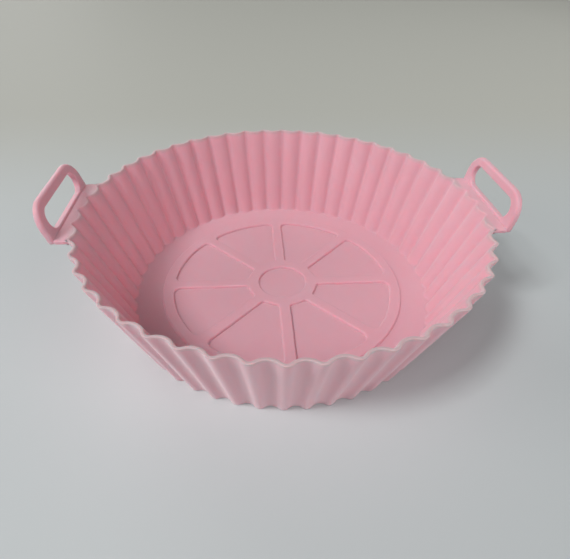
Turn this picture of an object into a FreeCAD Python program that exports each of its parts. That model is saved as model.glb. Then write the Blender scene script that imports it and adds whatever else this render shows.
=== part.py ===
import FreeCAD, Part
import math
import os
import Sketcher

# Air fryer liner: a round bowl of soft silicone, moulded in one piece. A fluted wall leans outward
# from a flat floor with a wheel pattern, and two loop handles stand on the rim.
# X runs through the handles, Z points up, and the origin is the centre of the underside.

# Driving dimensions, in millimetres and degrees
SIZES = {
    # fluted wall: radii are over the outer tips of the flutes
    "flutes": 50,
    "rim_radius": 100.0,
    "base_radius": 81.6,
    "wall_rise": 52.0,
    "wall_thickness": 1.5,
    "rim_flute_depth": 2.4,
    "base_flute_depth": 2.0,
    "rim_tip_round": 3.5,
    "base_tip_round": 2.9,
    # floor: a raised disc with a round recess and a ring of sector recesses between spokes
    "floor_thickness": 2.2,
    "disc_margin": 15.9,
    "disc_rise": 1.2,
    "recess_depth": 1.5,
    "hub_radius": 13.0,
    "hub_band": 6.2,
    "spokes": 8,
    "spoke_width": 5.9,
    "disc_band": 5.9,
    "sector_inner_round": 2.0,
    "sector_outer_round": 3.5,
    # handles: a flat flange level with the rim, and a leaning loop on its outer edge
    "flange_thickness": 2.0,
    "flange_inset": 10.0,
    "handle_overhang": 1.2,
    "handle_length": 52.4,
    "loop_lean": 12.0,
    "loop_rise": 16.0,
    "loop_thickness": 3.0,
    "loop_round": 10.8,
    "loop_edge_round": 1.25,
    "window_edge_cut": 0.6,
    "window_length": 40.6,
    "window_rise": 10.2,
    "window_sill": 1.3,
    "window_round": 4.9,
}

OVERLAP = 1.0
START, END, CENTRE = range(1, 4)
ORIGIN, X_AXIS, Y_AXIS = (-1, START), -1, -2


class Size:
    """A size as a number, with the expression that gives it from the sheet's cells."""

    def __init__(self, value, text):
        self.value = value
        self.text = text

    def joined(self, sign, other, value):
        text = other.text if isinstance(other, Size) else str(other)
        return Size(value, f"({self.text} {sign} {text})")

    def __add__(self, other):
        return self.joined("+", other, self.value + number(other))

    def __sub__(self, other):
        return self.joined("-", other, self.value - number(other))

    def __mul__(self, other):
        return self.joined("*", other, self.value * number(other))

    def __truediv__(self, other):
        return self.joined("/", other, self.value / number(other))


def number(item):
    return item.value if isinstance(item, Size) else item


def size(name):
    return Size(SIZES[name], f"Sizes.{name}")


def smaller(first, second):
    return Size(min(first.value, second.value), f"min({first.text}; {second.text})")


def wall_size(at_base, at_rim, level):
    """A size of the wall at a level between the underside and the rim."""
    return size(at_base) + (size(at_rim) - size(at_base)) * level / size("wall_rise")


def disc_radius():
    """The raised disc, which ends a margin short of the wall's foot."""
    return size("base_radius") - size("disc_margin")


def core_radius():
    """Where the wall's flutes begin under the floor, just outside the disc."""
    return disc_radius() + OVERLAP * 2


def handle_reach():
    """From the middle of the bowl to the loop's inner face."""
    return size("rim_radius") + size("handle_overhang")


def make_sheet(doc):
    sheet = doc.addObject("Spreadsheet::Sheet", "Sizes")
    for row, (name, value) in enumerate(SIZES.items(), 1):
        sheet.set(f"A{row}", name)
        sheet.set(f"B{row}", str(value))
        sheet.setAlias(f"B{row}", name)
    doc.recompute()


def base_feature(body, role):
    """One of the body's own planes or axes."""
    return next(item for item in body.Origin.OriginFeatures if item.Role == role)


def new_sketch(body, name, plane, height):
    """A sketch on an origin plane, lifted along the plane's normal."""
    sketch = body.newObject("Sketcher::SketchObject", name)
    sketch.AttachmentSupport = [(base_feature(body, plane), "")]
    sketch.MapMode = "FlatFace"
    sketch.setExpression("AttachmentOffset.Base.z", height.text)
    return sketch


def arc(centre, radius, start, end):
    """A counter-clockwise arc between two angles in radians."""
    circle = Part.Circle(centre, FreeCAD.Vector(0, 0, 1), radius)
    return Part.ArcOfCircle(circle, start, end)


def polar(radius, angle):
    return FreeCAD.Vector(radius * math.cos(angle), radius * math.sin(angle), 0)


def relate(sketch, kind, *elements):
    sketch.addConstraint(Sketcher.Constraint(kind, *elements))


def hold(sketch, name, kind, elements, amount):
    """A named dimension of a sketch, bound to the sheet."""
    value = math.radians(amount.value) if kind == "Angle" else amount.value
    index = sketch.addConstraint(Sketcher.Constraint(kind, *elements, value))
    sketch.renameConstraint(index, name)
    sketch.setExpression(f"Constraints.{name}", amount.text)


def pattern(body, name, feature, count):
    """Copies round the vertical axis: of a feature, or of the whole body where none is given."""
    ring = body.newObject("PartDesign::PolarPattern", name)
    if feature:
        ring.Originals = [feature]
    else:
        ring.TransformMode = "Whole shape"
    ring.Axis = (base_feature(body, "Z_Axis"), [""])
    ring.Angle = 360
    ring.setExpression("Occurrences", count.text)
    body.Tip = ring


def pad(body, name, sketch, length):
    feature = body.newObject("PartDesign::Pad", name)
    feature.Profile = sketch
    feature.setExpression("Length", length.text)
    return feature


def pocket(body, name, sketch, depth):
    feature = body.newObject("PartDesign::Pocket", name)
    feature.Profile = sketch
    feature.setExpression("Length", depth.text)
    return feature


def flute_sketch(body, name, level, radius, depth, tip_round, core):
    """One flute at a level: from a chord at the core out to a round tip between two half valleys."""
    half = math.pi / size("flutes").value
    centre = radius.value - tip_round.value
    valley = radius.value - depth.value
    gap = valley - centre * math.cos(half)
    hollow = (tip_round.value**2 - valley**2 - centre**2 + 2 * centre * valley * math.cos(half))
    hollow /= 2 * (gap - tip_round.value)
    upper = polar(valley + hollow, half)
    lower = polar(valley + hollow, -half)
    turn = math.atan2(upper.y, upper.x - centre)

    sketch = new_sketch(body, name, "XY_Plane", level)
    tip, left_hollow, right_hollow, left_side, right_side, chord = range(6)
    sketch.addGeometry(arc(FreeCAD.Vector(centre, 0, 0), tip_round.value, -turn, turn))
    sketch.addGeometry(arc(upper, hollow, math.pi + half, math.pi + turn))
    sketch.addGeometry(arc(lower, hollow, math.pi - turn, math.pi - half))
    sketch.addGeometry(Part.LineSegment(polar(core.value, half), polar(valley, half)))
    sketch.addGeometry(Part.LineSegment(polar(core.value, -half), polar(valley, -half)))
    sketch.addGeometry(Part.LineSegment(polar(core.value, half), polar(core.value, -half)))

    relate(sketch, "Tangent", tip, END, left_hollow, END)
    relate(sketch, "Tangent", tip, START, right_hollow, START)
    relate(sketch, "Coincident", left_hollow, START, left_side, END)
    relate(sketch, "Coincident", right_hollow, END, right_side, END)
    relate(sketch, "Coincident", left_side, START, chord, START)
    relate(sketch, "Coincident", right_side, START, chord, END)
    relate(sketch, "PointOnObject", tip, CENTRE, X_AXIS)
    relate(sketch, "PointOnObject", *ORIGIN, left_side)
    relate(sketch, "PointOnObject", left_hollow, CENTRE, left_side)
    relate(sketch, "PointOnObject", right_hollow, CENTRE, right_side)
    relate(sketch, "Symmetric", left_side, START, right_side, START, X_AXIS)
    relate(sketch, "Symmetric", left_side, END, right_side, END, X_AXIS)
    hold(sketch, "half_pitch", "Angle", [left_side], Size(180, "180") / size("flutes"))
    hold(sketch, "tip_round", "Radius", [tip], tip_round)
    hold(sketch, "tip_centre", "DistanceX", [*ORIGIN, tip, CENTRE], radius - tip_round)
    hold(sketch, "valley_radius", "Distance", [*ORIGIN, left_side, END], radius - depth)
    hold(sketch, "core_radius", "Distance", [*ORIGIN, left_side, START], core)
    return sketch


def flute_loft(body, name, kind, lower, upper):
    """A flute lofted straight from its lower to its upper sketch."""
    flute = body.newObject(kind, name)
    flute.Profile = lower
    flute.Sections = [upper]
    flute.Ruled = True


def wall(doc):
    """The fluted wall with the floor's outer ring: one flute, hollowed above the floor and repeated."""
    body = doc.addObject("PartDesign::Body", "Wall")
    thickness, floor_top, core = size("wall_thickness"), size("floor_thickness"), core_radius()
    lower = flute_sketch(body, "OuterBase", Size(0, "0"), size("base_radius"), size("base_flute_depth"),
                         size("base_tip_round"), core)
    upper = flute_sketch(body, "OuterRim", size("wall_rise"), size("rim_radius"), size("rim_flute_depth"),
                         size("rim_tip_round"), core)
    flute_loft(body, "OuterFlute", "PartDesign::AdditiveLoft", lower, upper)

    core -= OVERLAP
    lower = flute_sketch(body, "InnerFloor", floor_top,
                         wall_size("base_radius", "rim_radius", floor_top) - thickness,
                         wall_size("base_flute_depth", "rim_flute_depth", floor_top),
                         wall_size("base_tip_round", "rim_tip_round", floor_top) - thickness, core)
    upper = flute_sketch(body, "InnerRim", size("wall_rise"), size("rim_radius") - thickness,
                         size("rim_flute_depth"), size("rim_tip_round") - thickness, core)
    flute_loft(body, "InnerFlute", "PartDesign::SubtractiveLoft", lower, upper)
    doc.recompute()
    pattern(body, "WallRing", None, size("flutes"))
    return body


def disc_sketch(body, name, level, radius):
    sketch = new_sketch(body, name, "XY_Plane", level)
    sketch.addGeometry(Part.Circle(FreeCAD.Vector(), FreeCAD.Vector(0, 0, 1), radius.value))
    relate(sketch, "Coincident", 0, CENTRE, *ORIGIN)
    hold(sketch, "radius", "Radius", [0], radius)
    return sketch


def corner(radius, spoke_gap, half):
    """Angle from the sector's middle of a corner's centre, and its distance along the spoke."""
    angle = half - math.asin(spoke_gap / radius)
    return angle, math.sqrt(radius**2 - spoke_gap**2)


def sector_sketch(body, level):
    """A sector between two spokes, symmetric about the sketch's X axis, with four round corners."""
    inner, outer = size("hub_radius") + size("hub_band"), disc_radius() - size("disc_band")
    small, large = size("sector_inner_round"), size("sector_outer_round")
    half = math.pi / size("spokes").value
    edge = size("spoke_width").value / 2
    near, near_along = corner(inner.value + small.value, edge + small.value, half)
    far, far_along = corner(outer.value - large.value, edge + large.value, half)
    along = polar(1, half)
    side_offset = polar(edge, half - math.pi / 2)

    sketch = new_sketch(body, "Sector", "XY_Plane", level)
    turned = FreeCAD.Rotation(math.degrees(half), 0, 0)
    sketch.AttachmentOffset = FreeCAD.Placement(FreeCAD.Vector(), turned)
    sketch.setExpression("AttachmentOffset.Rotation.Angle", "180 / Sizes.spokes")
    rim, left_far, left, left_near, hub, right_near, right, right_far = range(8)
    side = half + math.pi / 2
    near_radius, far_radius = inner.value + small.value, outer.value - large.value
    high_side = [side_offset + along * far_along, side_offset + along * near_along]
    low_side = [FreeCAD.Vector(point.x, -point.y, 0) for point in reversed(high_side)]
    sketch.addGeometry(arc(FreeCAD.Vector(), outer.value, -far, far))
    sketch.addGeometry(arc(polar(far_radius, far), large.value, far, side))
    sketch.addGeometry(Part.LineSegment(*high_side))
    sketch.addGeometry(arc(polar(near_radius, near), small.value, side, math.pi + near))
    sketch.addGeometry(arc(FreeCAD.Vector(), inner.value, -near, near))
    sketch.addGeometry(arc(polar(near_radius, -near), small.value, math.pi - near, -side))
    sketch.addGeometry(Part.LineSegment(*low_side))
    sketch.addGeometry(arc(polar(far_radius, -far), large.value, -side, -far))

    for first, first_end, second, second_end in (
            (rim, END, left_far, START), (left_far, END, left, START), (left, END, left_near, START),
            (left_near, END, hub, END), (hub, START, right_near, START), (right_near, END, right, START),
            (right, END, right_far, START), (right_far, END, rim, START)):
        relate(sketch, "Tangent", first, first_end, second, second_end)
    relate(sketch, "Coincident", rim, CENTRE, *ORIGIN)
    relate(sketch, "Coincident", hub, CENTRE, *ORIGIN)
    relate(sketch, "Equal", left_far, right_far)
    relate(sketch, "Equal", left_near, right_near)
    relate(sketch, "Symmetric", left, START, right, END, X_AXIS)
    hold(sketch, "outer_radius", "Radius", [rim], outer)
    hold(sketch, "inner_radius", "Radius", [hub], inner)
    hold(sketch, "outer_round", "Radius", [left_far], large)
    hold(sketch, "inner_round", "Radius", [left_near], small)
    hold(sketch, "half_spoke", "Distance", [*ORIGIN, left], size("spoke_width") / 2)
    hold(sketch, "half_sector", "Angle", [X_AXIS, left], Size(180, "180") / size("spokes") + 180)
    return sketch


def floor(body):
    """The middle of the floor, its raised disc, the round recess and the ring of sectors."""
    core = disc_sketch(body, "CoreCircle", Size(0, "0"), core_radius() + OVERLAP)
    pad(body, "Core", core, size("floor_thickness"))
    disc = disc_sketch(body, "DiscCircle", size("floor_thickness"), disc_radius())
    pad(body, "Disc", disc, size("disc_rise"))
    top = size("floor_thickness") + size("disc_rise")
    hub = disc_sketch(body, "HubCircle", top, size("hub_radius"))
    pocket(body, "Hub", hub, size("recess_depth"))
    sector = pocket(body, "SectorRecess", sector_sketch(body, top), size("recess_depth"))
    pattern(body, "Sectors", sector, size("spokes"))


def add_box(sketch, prefix, width, low, high, rounds):
    """A box centred on the sketch's Y axis. rounds gives the size of each corner's arc, or None,
    counter-clockwise from the lower left. low is None where the box stands on the X axis."""
    first = sketch.GeometryCount
    base = low.value if low else 0
    points = [FreeCAD.Vector(x, y, 0) for x, y in (
        (-width.value / 2, base), (width.value / 2, base),
        (width.value / 2, high.value), (-width.value / 2, high.value))]
    cuts = [item.value if item else 0 for item in rounds]
    steps = [(points[(i + 1) % 4] - points[i]).normalize() for i in range(4)]
    for i, step in enumerate(steps):
        end = (i + 1) % 4
        side = Part.LineSegment(points[i] + step * cuts[i], points[end] - step * cuts[end])
        sketch.addGeometry(side)
    bottom, right, top, left = range(first, first + 4)
    relate(sketch, "Horizontal", bottom)
    relate(sketch, "Vertical", right)
    relate(sketch, "Vertical", left)
    relate(sketch, "Symmetric", top, START, top, END, Y_AXIS)
    for i, radius in enumerate(rounds):
        before, after = first + (i - 1) % 4, first + i
        if radius is None:
            relate(sketch, "Coincident", before, END, after, START)
            continue
        centre = points[i] + steps[i] * radius.value - steps[i - 1] * radius.value
        bend = arc(centre, radius.value, (i - 2) * math.pi / 2, (i - 1) * math.pi / 2)
        index = sketch.addGeometry(bend)
        relate(sketch, "Tangent", before, END, index, START)
        relate(sketch, "Tangent", index, END, after, START)
        hold(sketch, f"{prefix}_round_{i}", "Radius", [index], radius)
    hold(sketch, f"{prefix}_half", "DistanceX", [*ORIGIN, right, START], width / 2)
    hold(sketch, f"{prefix}_high", "DistanceY", [*ORIGIN, top, START], high)
    if low:
        hold(sketch, f"{prefix}_low", "DistanceY", [*ORIGIN, bottom, START], low)
    else:
        relate(sketch, "PointOnObject", bottom, START, X_AXIS)


def face_edges(shape, normal, outer):
    """Names of the edges round the flat faces across a direction: of their outlines, or of the window."""
    chosen = []
    for face in shape.Faces:
        if isinstance(face.Surface, Part.Plane) and abs(face.Surface.Axis.dot(normal)) > 0.999:
            for wire in face.Wires:
                if wire.isSame(face.OuterWire) == outer:
                    chosen += wire.Edges
    return [f"Edge{index}" for index, edge in enumerate(shape.Edges, 1)
            if any(edge.isSame(item) for item in chosen)]


def ease(body, name, kind, band, normal, outer, amount):
    """Rounds or cuts the edges of the band's outline or window, by less than half its thickness."""
    body.Document.recompute()
    edges = body.newObject(f"PartDesign::{kind}", name)
    edges.Base = (band, face_edges(band.Shape, normal, outer))
    edges.setExpression("Radius" if kind == "Fillet" else "Size",
                        smaller(amount, size("loop_thickness") * 0.45).text)
    return edges


def loop(body):
    """The leaning loop: a flat band round a finger window, with eased edges."""
    flange = size("flange_thickness")
    corner_round, window_round = size("loop_round"), size("window_round")
    sketch = new_sketch(body, "LoopOutline", "YZ_Plane", handle_reach())
    lean = FreeCAD.Rotation(FreeCAD.Vector(1, 0, 0), size("loop_lean").value)
    sketch.AttachmentOffset = FreeCAD.Placement(FreeCAD.Vector(), lean)
    sketch.setExpression("AttachmentOffset.Base.y", (size("wall_rise") - flange).text)
    sketch.setExpression("AttachmentOffset.Rotation.Angle", size("loop_lean").text)
    add_box(sketch, "loop", size("handle_length"), None, flange + size("loop_rise"),
            [None, None, corner_round, corner_round])
    sill = flange + size("window_sill")
    add_box(sketch, "window", size("window_length"), sill, sill + size("window_rise"), [window_round] * 4)
    band = pad(body, "Loop", sketch, size("loop_thickness"))
    body.Document.recompute()
    normal = sketch.Placement.Rotation.multVec(FreeCAD.Vector(0, 0, 1))
    band = ease(body, "WindowEdges", "Chamfer", band, normal, False, size("window_edge_cut"))
    ease(body, "LoopEdges", "Fillet", band, normal, True, size("loop_edge_round"))


def trim(body):
    """Ends the flange in the middle of the wall's thickness, along the flutes."""
    flange, half_wall = size("flange_thickness"), size("wall_thickness") / 2
    level = size("wall_rise") - flange / 2
    sketch = flute_sketch(body, "FlangeTrim", size("wall_rise"),
                          wall_size("base_radius", "rim_radius", level) - half_wall,
                          wall_size("base_flute_depth", "rim_flute_depth", level),
                          wall_size("base_tip_round", "rim_tip_round", level) - half_wall, core_radius())
    cut = pocket(body, "FlangeCut", sketch, flange + OVERLAP)
    pattern(body, "FlangeCuts", cut, size("flutes"))


def handles(body):
    """One handle on its flange at positive X, and its mirror image."""
    loop(body)
    root = size("rim_radius") - size("flange_inset")
    sketch = new_sketch(body, "FlangeSection", "YZ_Plane", root)
    add_box(sketch, "flange", size("handle_length"), size("wall_rise") - size("flange_thickness"),
            size("wall_rise"), [None] * 4)
    pad(body, "Flange", sketch, handle_reach() + size("loop_thickness") / 2 - root)
    trim(body)
    body.Document.recompute()
    pair = body.newObject("PartDesign::Mirrored", "HandlePair")
    pair.TransformMode = "Whole shape"
    pair.MirrorPlane = (base_feature(body, "YZ_Plane"), [""])
    body.Tip = pair


def make_liner(doc):
    ring = wall(doc)
    body = doc.addObject("PartDesign::Body", "Liner")
    body.Label = "liner"
    handles(body)
    floor(body)
    joined = body.newObject("PartDesign::Boolean", "WithWall")
    joined.Type = "Fuse"
    joined.setObjects([ring])
    return body


def check(doc, body):
    """Stops before anything is written if a feature failed or the piece isn't one sound solid."""
    for item in doc.Objects:
        if "Invalid" in item.State or "Error" in item.State:
            raise RuntimeError(f"{item.Name} failed: {item.getStatusString()}")
    if body.Shape.isNull() or not body.Shape.isValid() or len(body.Shape.Solids) != 1:
        raise RuntimeError("the liner isn't one valid solid")
    recess = doc.getObject("Disc").Shape.Volume - doc.getObject("Sectors").Shape.Volume
    if recess <= 0:
        raise RuntimeError("the floor's recesses cut nothing")


def main():
    doc = FreeCAD.newDocument("AirFryerLiner")
    make_sheet(doc)
    liner = make_liner(doc)
    doc.recompute()
    check(doc, liner)
    os.makedirs("parts", exist_ok=True)
    liner.Shape.exportStep(f"parts/{liner.Label}.step")
    box = liner.Shape.BoundBox
    print(f"{liner.Label}: {box.XLength:.1f} x {box.YLength:.1f} x {box.ZLength:.1f} mm, "
          f"{liner.Shape.Volume / 1000:.1f} cm3, {len(liner.Shape.Faces)} faces")


main()
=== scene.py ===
import math

import bmesh
import bpy
from mathutils import Matrix, Vector
from mathutils.geometry import delaunay_2d_cdt


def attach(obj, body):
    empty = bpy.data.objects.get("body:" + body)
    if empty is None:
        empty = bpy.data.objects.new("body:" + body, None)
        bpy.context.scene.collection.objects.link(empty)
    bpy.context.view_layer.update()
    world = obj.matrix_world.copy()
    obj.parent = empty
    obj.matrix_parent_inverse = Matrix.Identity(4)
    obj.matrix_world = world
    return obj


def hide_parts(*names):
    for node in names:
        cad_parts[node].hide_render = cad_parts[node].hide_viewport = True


# Air fryer liner in pink silicone: the moulded skin with every edge softened, on a pale floor.
# The liner's lengths and the camera's place are in millimetres, which MM turns into metres. All
# other lengths are in metres.

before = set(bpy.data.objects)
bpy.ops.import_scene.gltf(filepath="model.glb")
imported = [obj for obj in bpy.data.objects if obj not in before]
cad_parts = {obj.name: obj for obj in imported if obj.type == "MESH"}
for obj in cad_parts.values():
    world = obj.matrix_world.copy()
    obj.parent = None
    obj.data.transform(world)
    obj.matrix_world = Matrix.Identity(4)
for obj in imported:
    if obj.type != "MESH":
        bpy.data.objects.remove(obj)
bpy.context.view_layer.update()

MM = 0.001

# The bowl, as in the part. At the rim and the base: the radius over the flutes, their depth,
# and the round of their tips.
FLUTES = 50
RIM = (100.0, 2.4, 3.5)
BASE = (81.6, 2.0, 2.9)
WALL_RISE = 52.0
WALL = 1.5
FLOOR_TOP = 2.2
DISC_RADIUS, DISC_TOP = 65.7, 3.4
RECESS_DEPTH = 1.5
HUB_RADIUS = 13.0
SPOKES, SPOKE_WIDTH = 8, 5.9
SECTOR_INNER, SECTOR_OUTER = 19.2, 59.8
SECTOR_INNER_ROUND, SECTOR_OUTER_ROUND = 2.0, 3.5

# The handles, as in the part. Heights are above the flange's underside.
FLANGE = 2.0
HANDLE_LENGTH = 52.4
HANDLE_REACH = 101.2
LOOP_RISE, LOOP_THICKNESS, LOOP_ROUND = 18.0, 3.0, 10.8
WINDOW_LENGTH, WINDOW_LOW, WINDOW_HIGH, WINDOW_ROUND = 40.6, 3.3, 13.5, 4.9

# The soft loops stand a little unevenly about the mould's 12 degrees, at positive X and at
# negative X
LEANS = {1: 9.0, -1: 15.0}

# How far each edge is softened, and the flat band that keeps the shading of a face even
RIM_SOFT, FOOT_SOFT, CORNER_SOFT = 0.6, 0.5, 0.7
STEP_SOFT, STEP_FOOT = 0.8, 0.25
FLANGE_SOFT, LOOP_SOFT, WINDOW_SOFT = 0.6, 1.25, 0.6
HANDLE_CORNER = 1.8
FLAT_BAND = 0.35

# The flange ends inside the wall, at a share of its thickness, a hair below the rim
SEAM_SHARE = 0.6
FLANGE_DROP = 0.02

# Steps along one flute (each half valley, and the tip), up the wall and along other arcs
VALLEY_STEPS, TIP_STEPS = 5, 8
WALL_ROWS = 10
ARC_STEPS = 5
HUB_STEPS = 96
SECTOR_STEPS, SECTOR_CORNER_STEPS = 30, 8
BOX_CORNER_STEPS = 10

# Limits in making the mesh: points closer than this are one, an angle from which an edge is
# drawn sharp, the fill's accuracy, and the least cosine by which an offset is stretched
MERGE = 0.002
CREASE_ANGLE = 40
FILL_TOLERANCE = 1e-7
LEAST_COSINE = 0.3

# Silicone: two pinks in soft clouds, a paler rim between two heights, which is a painted sheen
# and fades out towards the handles, and a fine grain
PINKS = (226, 172, 184), (230, 179, 191)
CLOUD_SCALE = 22.0
PAINTED_RIM_SHEEN = (203, 181, 184)
PAINTED_SHEEN_HEIGHTS = (0.0498, 0.0519)
PAINTED_SHEEN_HANDLE_FADE = (0.0975, 0.0945)
GRAIN_SCALE, GRAIN_STRENGTH, GRAIN_HEIGHT = 2600.0, 0.08, 0.0002
SILICONE = {
    "Roughness": 0.55,
    "Sheen Weight": 0.35,
    "Sheen Roughness": 0.5,
    "IOR": 1.41,
    "Subsurface Weight": 0.85,
    "Subsurface Radius": (1.0, 0.32, 0.37),
    "Subsurface Scale": 0.0024,
}

# Floor: cool in front, warmer behind from one Y to another, where it goes from a darker left
# to a lighter right, which is painted shade behind on the left and painted light behind on the
# right
FLOOR_SIZE = 3.6
FLOOR_NEAR = (201, 207, 208)
FLOOR_FAR_PAINTED_SHADE_AND_LIGHT = (170, 171, 164), (210, 211, 203)
FLOOR_FADE_TO_PAINTED_FAR = (0.02, 0.30)
FLOOR_PAINTED_SHADE_TO_LIGHT_SPAN = (-0.6, 0.6)
FLOOR_FINISH = {"Roughness": 0.7, "Specular IOR Level": 0.2}

# Lamps: azimuth and height in degrees, distance and size, and power in watts
LAMPS = {
    "key": (208, 52, 3.4, 0.8, 53),
    "window": (256, 54, 3.4, 1.5, 29),
    "left": (184, 20, 2.8, 1.0, 14),
    "back": (120, 20, 2.8, 1.2, 17),
    "fill": (322, 36, 2.8, 1.2, 8),
    "low": (333, 9, 1.9, 0.7, 5.2),
}
WORLD_COLOUR, WORLD_STRENGTH = (1.0, 0.97, 0.93, 1), 0.05
BACKDROP = (176, 177, 171)

# The photograph's camera: its place and the point it looks at in millimetres, its roll in
# radians, and in pixels its frame's width, its focal length and its shift
CAMERA_PLACE = (-15.6, -187.5, 161.8)
CAMERA_AIM = (1.0, 3.9, 2.2)
CAMERA_ROLL = -0.0234
FRAME_WIDTH, FOCAL, SHIFT = 570, 435.93, 1.5
SENSOR_WIDTH = 36
CLIP_START = 0.01


class Shell:
    """Points and faces of a mesh in the making."""

    def __init__(self):
        self.points = []
        self.faces = []

    def ring(self, points):
        first = len(self.points)
        self.points += points
        return list(range(first, len(self.points)))

    def bridge(self, lower, upper):
        count = len(lower)
        for i in range(count):
            j = (i + 1) % count
            self.faces.append((lower[i], lower[j], upper[j], upper[i]))

    def stack(self, rings):
        """Joins rings in turn and returns the first and the last."""
        made = [self.ring(points) for points in rings]
        for lower, upper in zip(made, made[1:]):
            self.bridge(lower, upper)
        return made[0], made[-1]

    def fan(self, ring, middle, flip=False):
        """Closes a ring with triangles to a point in its middle."""
        centre = self.ring([middle])[0]
        count = len(ring)
        for i in range(count):
            edge = (ring[i], ring[(i + 1) % count])
            self.faces.append((*(reversed(edge) if flip else edge), centre))

    def fill(self, outer, holes, flatten, flip=False):
        """Fills a flat face between a ring and the rings of its holes."""
        rings = [outer, *holes]
        index = [i for ring in rings for i in ring]
        flat = [flatten(self.points[i]) for i in index]
        edges, outlines = [], []
        for ring in rings:
            start, count = len(edges), len(ring)
            edges += [(start + i, start + (i + 1) % count) for i in range(count)]
            outlines.append(flat[start:start + count])
        border, *gaps = outlines
        points, _, faces, sources = delaunay_2d_cdt(flat, edges, [], 0, FILL_TOLERANCE)[:4]
        for face in faces:
            middle = sum((points[i] for i in face), Vector((0, 0))) / len(face)
            if not inside(middle, border) or any(inside(middle, gap) for gap in gaps):
                continue
            corners = [index[sources[i][0]] for i in face]
            first, second, third = (points[i] for i in face[:3])
            turn = (second - first).cross(third - first)
            if (turn < 0) != flip:
                corners.reverse()
            self.faces.append(tuple(corners))

    def build(self, name):
        mesh = bpy.data.meshes.new(name)
        mesh.from_pydata([point * MM for point in self.points], [], self.faces)
        mesh.validate()
        mesh.shade_smooth()
        piece = bpy.data.objects.new(name, mesh)
        bpy.context.scene.collection.objects.link(piece)
        return piece


def inside(point, ring):
    """Whether a point lies in a closed outline."""
    hit = False
    for a, b in zip(ring, ring[1:] + ring[:1]):
        if (a.y > point.y) != (b.y > point.y):
            if point.x < (b.x - a.x) * (point.y - a.y) / (b.y - a.y) + a.x:
                hit = not hit
    return hit


def polar(radius, angle):
    return Vector((radius * math.cos(angle), radius * math.sin(angle)))


def arc(centre, radius, start, end, steps):
    """Points of an arc, without its last one."""
    return [centre + polar(radius, start + (end - start) * i / steps) for i in range(steps)]


def raised(points, height):
    return [Vector((point.x, point.y, height)) for point in points]


def offset(ring, amount):
    """An outline moved outward along its own normals. It runs counter-clockwise."""
    out = []
    for before, point, after in zip(ring[-1:] + ring[:-1], ring, ring[1:] + ring[:1]):
        one = (point - before).normalized()
        two = (after - point).normalized()
        normal = Vector((one.y + two.y, -one.x - two.x)).normalized()
        cosine = normal.dot(Vector((one.y, -one.x)))
        out.append(point + normal * amount / max(cosine, LEAST_COSINE))
    return out


def flute_ring(radius, depth, tip):
    """The closed outline of all flutes, from valley to tip to valley."""
    half = math.pi / FLUTES
    centre, valley = radius - tip, radius - depth
    hollow = tip**2 - valley**2 - centre**2 + 2 * centre * valley * math.cos(half)
    hollow /= 2 * (valley - centre * math.cos(half) - tip)
    upper, lower = polar(valley + hollow, half), polar(valley + hollow, -half)
    turn = math.atan2(upper.y, upper.x - centre)
    flute = arc(lower, hollow, math.pi - half, math.pi - turn, VALLEY_STEPS)
    flute += arc(Vector((centre, 0)), tip, -turn, turn, TIP_STEPS)
    flute += arc(upper, hollow, math.pi + turn, math.pi + half, VALLEY_STEPS)
    ring = []
    for i in range(FLUTES):
        spin = Matrix.Rotation(2 * half * i, 2)
        ring += [spin @ point for point in flute]
    return ring


def wall_sizes(level, inset):
    """The flutes' radius, depth and tip round at a level, at a depth below the outer surface."""
    share = level / WALL_RISE
    radius, depth, tip = (low + (high - low) * share for low, high in zip(BASE, RIM))
    return radius - inset, depth, tip - inset


class WallPoints:
    """Rings of the wall at a level and a depth below the outer surface."""

    def __init__(self):
        self.outer = [flute_ring(*wall_sizes(level, 0)) for level in (0, WALL_RISE)]
        self.inner = [flute_ring(*wall_sizes(level, WALL)) for level in (0, WALL_RISE)]

    def ring(self, depth, level):
        up, into = level / WALL_RISE, depth / WALL
        out = []
        for a, b, c, d in zip(*self.outer, *self.inner):
            out.append((a.lerp(b, up)).lerp(c.lerp(d, up), into))
        return out

    def rows(self, path):
        return [raised(self.ring(depth, level), level) for depth, level in path]


def bend(corner, start, end):
    """A soft corner: from one point to another, round the corner between them."""
    one, two = Vector(start) - Vector(corner), Vector(end) - Vector(corner)
    middle = Vector(corner) + one + two
    out = []
    for i in range(ARC_STEPS + 1):
        angle = math.pi / 2 * i / ARC_STEPS
        out.append(tuple(middle - two * math.cos(angle) - one * math.sin(angle)))
    return out


def straight(start, end, rows):
    """Points between two others, without either."""
    return [tuple(Vector(start).lerp(Vector(end), i / rows)) for i in range(1, rows)]


def bowl_wall(shell):
    """From the underside over the rim to the floor. Returns the rings at both ends."""
    wall = WallPoints()
    top, soft = WALL_RISE, RIM_SOFT
    low, corner = FLOOR_TOP, CORNER_SOFT
    path = [(FOOT_SOFT + FLAT_BAND, 0)]
    path += bend((0, 0), (FOOT_SOFT, 0), (0, FOOT_SOFT))
    path += straight((0, FOOT_SOFT), (0, top - soft), WALL_ROWS)
    path += bend((0, top), (0, top - soft), (soft, top))
    path += bend((WALL, top), (WALL - soft, top), (WALL, top - soft))
    path += straight((WALL, top - soft), (WALL, low + corner), WALL_ROWS)
    path += bend((WALL, low), (WALL, low + corner), (WALL + corner, low))
    path += [(WALL + corner + FLAT_BAND, low)]
    return shell.stack(wall.rows(path))


def recess(shell, outline):
    """A recess in the disc's top. Returns the ring at the top, which the disc's face meets."""
    low, high = DISC_TOP - RECESS_DEPTH, DISC_TOP
    path = [(STEP_SOFT + FLAT_BAND, high)]
    path += bend((0, high), (STEP_SOFT, high), (0, high - STEP_SOFT))
    path += bend((0, low), (0, low + STEP_FOOT), (-STEP_FOOT, low))
    path += [(-STEP_FOOT - FLAT_BAND, low)]
    first, last = shell.stack([raised(offset(outline, away), level) for away, level in path])
    points = [shell.points[i] for i in last]
    shell.fan(last, sum(points, Vector((0, 0, 0))) / len(points))
    return first


def corner_centre(radius, gap, half):
    return polar(radius, half - math.asin(gap / radius))


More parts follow.
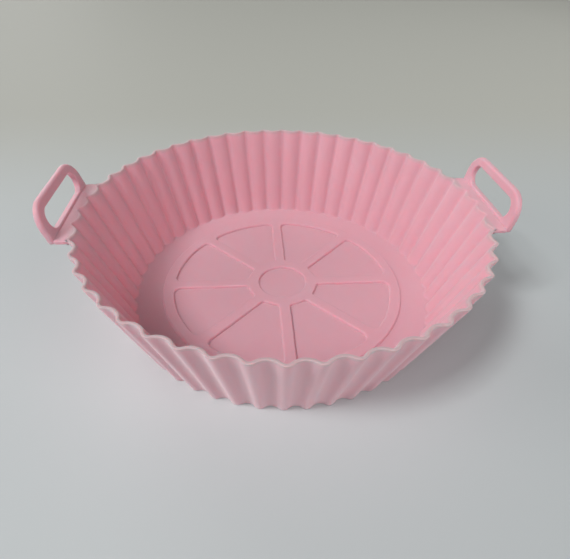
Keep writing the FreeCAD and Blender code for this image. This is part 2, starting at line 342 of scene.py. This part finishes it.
def sector_outline():
    """One sector about the X axis, with four round corners."""
    half, edge = math.pi / SPOKES, SPOKE_WIDTH / 2
    small, large = SECTOR_INNER_ROUND, SECTOR_OUTER_ROUND
    steps = SECTOR_CORNER_STEPS
    near = corner_centre(SECTOR_INNER + small, edge + small, half)
    far = corner_centre(SECTOR_OUTER - large, edge + large, half)
    near_turn, far_turn = math.atan2(near.y, near.x), math.atan2(far.y, far.x)
    side = half + math.pi / 2
    zero = Vector((0, 0))
    mirror = Vector((1, -1))
    ring = arc(zero, SECTOR_OUTER, -far_turn, far_turn, SECTOR_STEPS)
    ring += arc(far, large, far_turn, side, steps) + [far + polar(large, side)]
    ring += arc(near, small, side, math.pi + near_turn, steps)
    ring += arc(zero, SECTOR_INNER, near_turn, -near_turn, steps)
    ring += arc(near * mirror, small, math.pi - near_turn, 2 * math.pi - side, steps)
    ring += [near * mirror + polar(small, -side)]
    ring += arc(far * mirror, large, -side, -far_turn, steps)
    return ring


def bowl_floor(shell, foot):
    """The floor from the wall's foot to the disc, and the disc with its recesses."""
    turns = [math.atan2(shell.points[i].y, shell.points[i].x) for i in foot]
    low, high = FLOOR_TOP, DISC_TOP
    path = [(DISC_RADIUS + STEP_FOOT + FLAT_BAND, low)]
    path += bend((DISC_RADIUS, low), (DISC_RADIUS + STEP_FOOT, low),
                 (DISC_RADIUS, low + STEP_FOOT))
    path += bend((DISC_RADIUS, high), (DISC_RADIUS, high - STEP_SOFT),
                 (DISC_RADIUS - STEP_SOFT, high))
    path += [(DISC_RADIUS - STEP_SOFT - FLAT_BAND, high)]
    rings = [raised([polar(radius, turn) for turn in turns], level) for radius, level in path]
    first, last = shell.stack(rings)
    shell.bridge(foot, first)
    hub = [polar(HUB_RADIUS, 2 * math.pi * i / HUB_STEPS) for i in range(HUB_STEPS)]
    holes = [recess(shell, hub)]
    sector = sector_outline()
    for i in range(SPOKES):
        spin = Matrix.Rotation(2 * math.pi * (i + 0.5) / SPOKES, 2)
        holes.append(recess(shell, [spin @ point for point in sector]))
    shell.fill(last, holes, lambda point: Vector((point.x, point.y)))


def round_box(width, low, high, rounds):
    """A rectangle with round corners, counter-clockwise from the lower left."""
    x = width / 2
    corners = ((-x, low, 1, 1), (x, low, -1, 1), (x, high, -1, -1), (-x, high, 1, -1))
    ring = []
    for (cx, cy, sx, sy), radius, turn in zip(corners, rounds, (2, 3, 0, 1)):
        start = turn * math.pi / 2
        centre = Vector((cx + sx * radius, cy + sy * radius))
        ring += arc(centre, radius, start, start + math.pi / 2, BOX_CORNER_STEPS)
        ring.append(centre + polar(radius, start + math.pi / 2))
    return ring


def plate(shell, outline, hole, thickness, softs, place):
    """A flat plate with soft edges, from its outline and perhaps a hole. place puts a point
    into the model."""
    lows, highs = [], []
    for ring, sign, soft in zip((outline, hole), (1, -1), softs):
        path = [(-soft - FLAT_BAND, 0)]
        path += bend((0, 0), (-soft, 0), (0, soft))
        path += bend((0, thickness), (0, thickness - soft), (-soft, thickness))
        path += [(-soft - FLAT_BAND, thickness)]
        rings = [[place @ point for point in raised(offset(ring, sign * away), level)]
                 for away, level in path]
        if sign < 0:
            rings = [list(reversed(points)) for points in rings]
        low, high = shell.stack(rings)
        lows.append(low)
        highs.append(high)
    back = place.inverted()
    for rings, flip in ((lows, True), (highs, False)):
        shell.fill(rings[0], rings[1:], lambda point: (back @ point).xy, flip)


def loop_part(side, outward):
    """A leaning loop round its window."""
    lean = math.radians(LEANS[side])
    axes = Matrix(((0, math.sin(lean), math.cos(lean), HANDLE_REACH),
                   (1, 0, 0, 0),
                   (0, math.cos(lean), -math.sin(lean), WALL_RISE - FLANGE),
                   (0, 0, 0, 1)))
    rounds = (HANDLE_CORNER, HANDLE_CORNER, LOOP_ROUND, LOOP_ROUND)
    outline = round_box(HANDLE_LENGTH, 0, LOOP_RISE, rounds)
    window = round_box(WINDOW_LENGTH, WINDOW_LOW, WINDOW_HIGH, [WINDOW_ROUND] * 4)
    loop = Shell()
    plate(loop, outline, window, LOOP_THICKNESS, (LOOP_SOFT, WINDOW_SOFT), outward @ axes)
    return loop


def flange_part(outward):
    """A flange under a loop, which ends inside the wall along the flutes."""
    half = HANDLE_LENGTH / 2
    seam = [point for point in flute_ring(*wall_sizes(WALL_RISE, WALL * SEAM_SHARE))
            if point.x > 0 and abs(point.y) < half]
    seam.sort(key=lambda point: -point.y)
    inner = RIM[0] - WALL
    ends = [polar(inner, sign * math.asin(half / inner)) for sign in (1, -1)]
    edge = HANDLE_REACH + LOOP_THICKNESS / 2
    corner = Vector((edge - HANDLE_CORNER, half - HANDLE_CORNER))
    below = corner * Vector((1, -1))
    outline = arc(below, HANDLE_CORNER, -math.pi / 2, 0, ARC_STEPS)
    outline += [Vector((edge, below.y))]
    outline += arc(corner, HANDLE_CORNER, 0, math.pi / 2, ARC_STEPS)
    outline += [Vector((corner.x, half)), Vector((ends[0].x, half))]
    outline += seam + [Vector((ends[1].x, -half))]
    lift = Matrix.Translation((0, 0, WALL_RISE - FLANGE - FLANGE_DROP))
    flange = Shell()
    plate(flange, outline, None, FLANGE, (FLANGE_SOFT,), outward @ lift)
    return flange


def handle_parts():
    """Both loops and both flanges, at positive X and at negative X."""
    parts = []
    for side in (1, -1):
        outward = Matrix.Rotation(0 if side > 0 else math.pi, 4, "Z")
        parts += [loop_part(side, outward), flange_part(outward)]
    return parts


def unite(piece, others):
    """Makes one closed skin of a piece and what reaches into it."""
    for other in others:
        joint = piece.modifiers.new("joint", "BOOLEAN")
        joint.operation = "UNION"
        joint.solver = "MANIFOLD"
        joint.object = other
    graph = bpy.context.evaluated_depsgraph_get()
    joined = bpy.data.meshes.new_from_object(piece.evaluated_get(graph))
    piece.modifiers.clear()
    piece.data = joined
    for other in others:
        bpy.data.objects.remove(other)
    joined.materials.clear()
    work = bmesh.new()
    work.from_mesh(joined)
    bmesh.ops.remove_doubles(work, verts=work.verts, dist=MERGE * MM)
    bmesh.ops.dissolve_degenerate(work, edges=work.edges, dist=MERGE * MM)
    work.to_mesh(joined)
    work.free()
    joined.shade_smooth()
    joined.set_sharp_from_angle(angle=math.radians(CREASE_ANGLE))


def make_skin():
    """The whole liner as one closed mesh."""
    bowl = Shell()
    under, foot = bowl_wall(bowl)
    bowl.fan(under, Vector((0, 0, 0)), True)
    bowl_floor(bowl, foot)
    made = bowl.build("liner_skin")
    unite(made, [shell.build(f"part_{i}") for i, shell in enumerate(handle_parts())])
    return made


class Nodes:
    """Short calls for building a material."""

    def __init__(self, name):
        self.material = bpy.data.materials.new(name)
        self.material.use_nodes = True
        self.tree = self.material.node_tree
        self.shader = self.tree.nodes["Principled BSDF"]

    def add(self, kind, inputs=(), **settings):
        node = self.tree.nodes.new(kind)
        for key, value in settings.items():
            setattr(node, key, value)
        for key, value in dict(inputs).items():
            self.set(node, key, value)
        return node

    def set(self, node, key, value):
        """Links an input to a socket, or gives it a value."""
        if isinstance(value, bpy.types.NodeSocket):
            self.tree.links.new(value, node.inputs[key])
        else:
            node.inputs[key].default_value = value

    def finish(self, inputs):
        """Sets the shader's inputs and returns the material."""
        for key, value in inputs.items():
            self.set(self.shader, key, value)
        return self.material

    def place(self):
        return self.add("ShaderNodeTexCoord").outputs["Object"]

    def split(self, place):
        return self.add("ShaderNodeSeparateXYZ", {"Vector": place}).outputs

    def noise(self, place, **inputs):
        return self.add("ShaderNodeTexNoise", {"Vector": place, **inputs}).outputs["Fac"]

    def math(self, operation, *values):
        inputs = dict(enumerate(values))
        return self.add("ShaderNodeMath", inputs, operation=operation).outputs["Value"]

    def ramp(self, value, span, kind="LINEAR"):
        """0 at the span's start to 1 at its end."""
        inputs = {"Value": value, "From Min": span[0], "From Max": span[1]}
        return self.add("ShaderNodeMapRange", inputs, interpolation_type=kind).outputs["Result"]

    def mix(self, share, first, second):
        """A colour between two others. 6 and 7 are the node's two colour sockets."""
        node = self.add("ShaderNodeMix", {0: share, 6: first, 7: second}, data_type="RGBA")
        return node.outputs[2]


def linear(red, green, blue):
    """A colour from the usual 0 to 255 values."""
    parts = [value / 255 for value in (red, green, blue)]
    return (*(part / 12.92 if part <= 0.04045 else ((part + 0.055) / 1.055) ** 2.4
              for part in parts), 1)


def silicone():
    made = Nodes("pink_silicone")
    place = made.place()
    cloud = made.noise(place, Scale=CLOUD_SCALE, Detail=4.0, Roughness=0.6)
    pink = made.mix(cloud, *(linear(*colour) for colour in PINKS))
    split = made.split(place)
    # The paler rim is a painted sheen: a paler pink between two heights, faded out towards the
    # handles
    top = made.ramp(split["Z"], PAINTED_SHEEN_HEIGHTS)
    sheen_fade = made.ramp(made.math("ABSOLUTE", split["X"]), PAINTED_SHEEN_HANDLE_FADE)
    colour = made.mix(made.math("MULTIPLY", top, sheen_fade), pink, linear(*PAINTED_RIM_SHEEN))
    grain = made.noise(place, Scale=GRAIN_SCALE, Detail=2.0)
    bump = made.add("ShaderNodeBump", {"Height": grain, "Strength": GRAIN_STRENGTH,
                                       "Distance": GRAIN_HEIGHT})
    return made.finish({"Base Color": colour, **SILICONE, "Normal": bump.outputs["Normal"]})


def floor_material():
    made = Nodes("studio_floor")
    # The far floor's colour holds painted shade on the left and painted light on the right
    split = made.split(made.place())
    share = made.ramp(split["Y"], FLOOR_FADE_TO_PAINTED_FAR, "SMOOTHSTEP")
    across = made.ramp(split["X"], FLOOR_PAINTED_SHADE_TO_LIGHT_SPAN)
    far = made.mix(across, *(linear(*colour) for colour in FLOOR_FAR_PAINTED_SHADE_AND_LIGHT))
    colour = made.mix(share, linear(*FLOOR_NEAR), far)
    return made.finish({"Base Color": colour, **FLOOR_FINISH})


def stage_floor():
    bpy.ops.mesh.primitive_plane_add(size=FLOOR_SIZE)
    floor = bpy.context.object
    floor.name = "studio_floor"
    floor.data.materials.append(floor_material())


def area_light(name, azimuth, height, distance, size, power):
    """A soft square lamp that looks at the bowl's middle."""
    turn, rise = math.radians(azimuth), math.radians(height)
    place = Vector((math.cos(rise) * math.cos(turn), math.cos(rise) * math.sin(turn),
                    math.sin(rise)))
    lamp = bpy.data.lights.new(name, "AREA")
    lamp.size = size
    lamp.energy = power
    thing = bpy.data.objects.new(name, lamp)
    thing.location = place * distance
    thing.rotation_euler = place.to_track_quat("Z", "Y").to_euler()
    bpy.context.scene.collection.objects.link(thing)


def world_light():
    """A dim light from all sides. What is seen, mirrored or shows through is a pale backdrop."""
    world = bpy.data.worlds.new("studio")
    bpy.context.scene.world = world
    world.use_nodes = True
    tree = world.node_tree
    dim = tree.nodes["Background"]
    dim.inputs["Color"].default_value = WORLD_COLOUR
    dim.inputs["Strength"].default_value = WORLD_STRENGTH
    pale = tree.nodes.new("ShaderNodeBackground")
    pale.inputs["Color"].default_value = linear(*BACKDROP)
    path = tree.nodes.new("ShaderNodeLightPath")
    seen = path.outputs["Is Camera Ray"]
    for name in ("Is Glossy Ray", "Is Transmission Ray"):
        either = tree.nodes.new("ShaderNodeMath")
        either.operation = "MAXIMUM"
        tree.links.new(seen, either.inputs[0])
        tree.links.new(path.outputs[name], either.inputs[1])
        seen = either.outputs["Value"]
    choice = tree.nodes.new("ShaderNodeMixShader")
    tree.links.new(seen, choice.inputs[0])
    tree.links.new(dim.outputs["Background"], choice.inputs[1])
    tree.links.new(pale.outputs["Background"], choice.inputs[2])
    tree.links.new(choice.outputs["Shader"], tree.nodes["World Output"].inputs["Surface"])


def camera():
    """The photograph's view."""
    place, aim = Vector(CAMERA_PLACE) * MM, Vector(CAMERA_AIM) * MM
    forward = (aim - place).normalized()
    right = forward.cross(Vector((0, 0, 1))).normalized()
    down = forward.cross(right)
    across = right * math.cos(CAMERA_ROLL) + down * math.sin(CAMERA_ROLL)
    below = down * math.cos(CAMERA_ROLL) - right * math.sin(CAMERA_ROLL)
    data = bpy.data.cameras.new("camera")
    data.sensor_fit = "HORIZONTAL"
    data.sensor_width = SENSOR_WIDTH
    data.lens = FOCAL / FRAME_WIDTH * SENSOR_WIDTH
    data.shift_x, data.shift_y = SHIFT / FRAME_WIDTH, -SHIFT / FRAME_WIDTH
    data.clip_start = CLIP_START
    thing = bpy.data.objects.new("camera", data)
    turn = Matrix((across, -below, -forward)).transposed()
    thing.matrix_world = Matrix.Translation(place) @ turn.to_4x4()
    bpy.context.scene.collection.objects.link(thing)
    bpy.context.scene.camera = thing


skin = make_skin()
skin.data.materials.append(silicone())
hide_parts("liner")
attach(skin, "root")
stage_floor()
for lamp_name, lamp_values in LAMPS.items():
    area_light(lamp_name, *lamp_values)
world_light()
camera()
bpy.context.scene.view_settings.view_transform = "Standard"
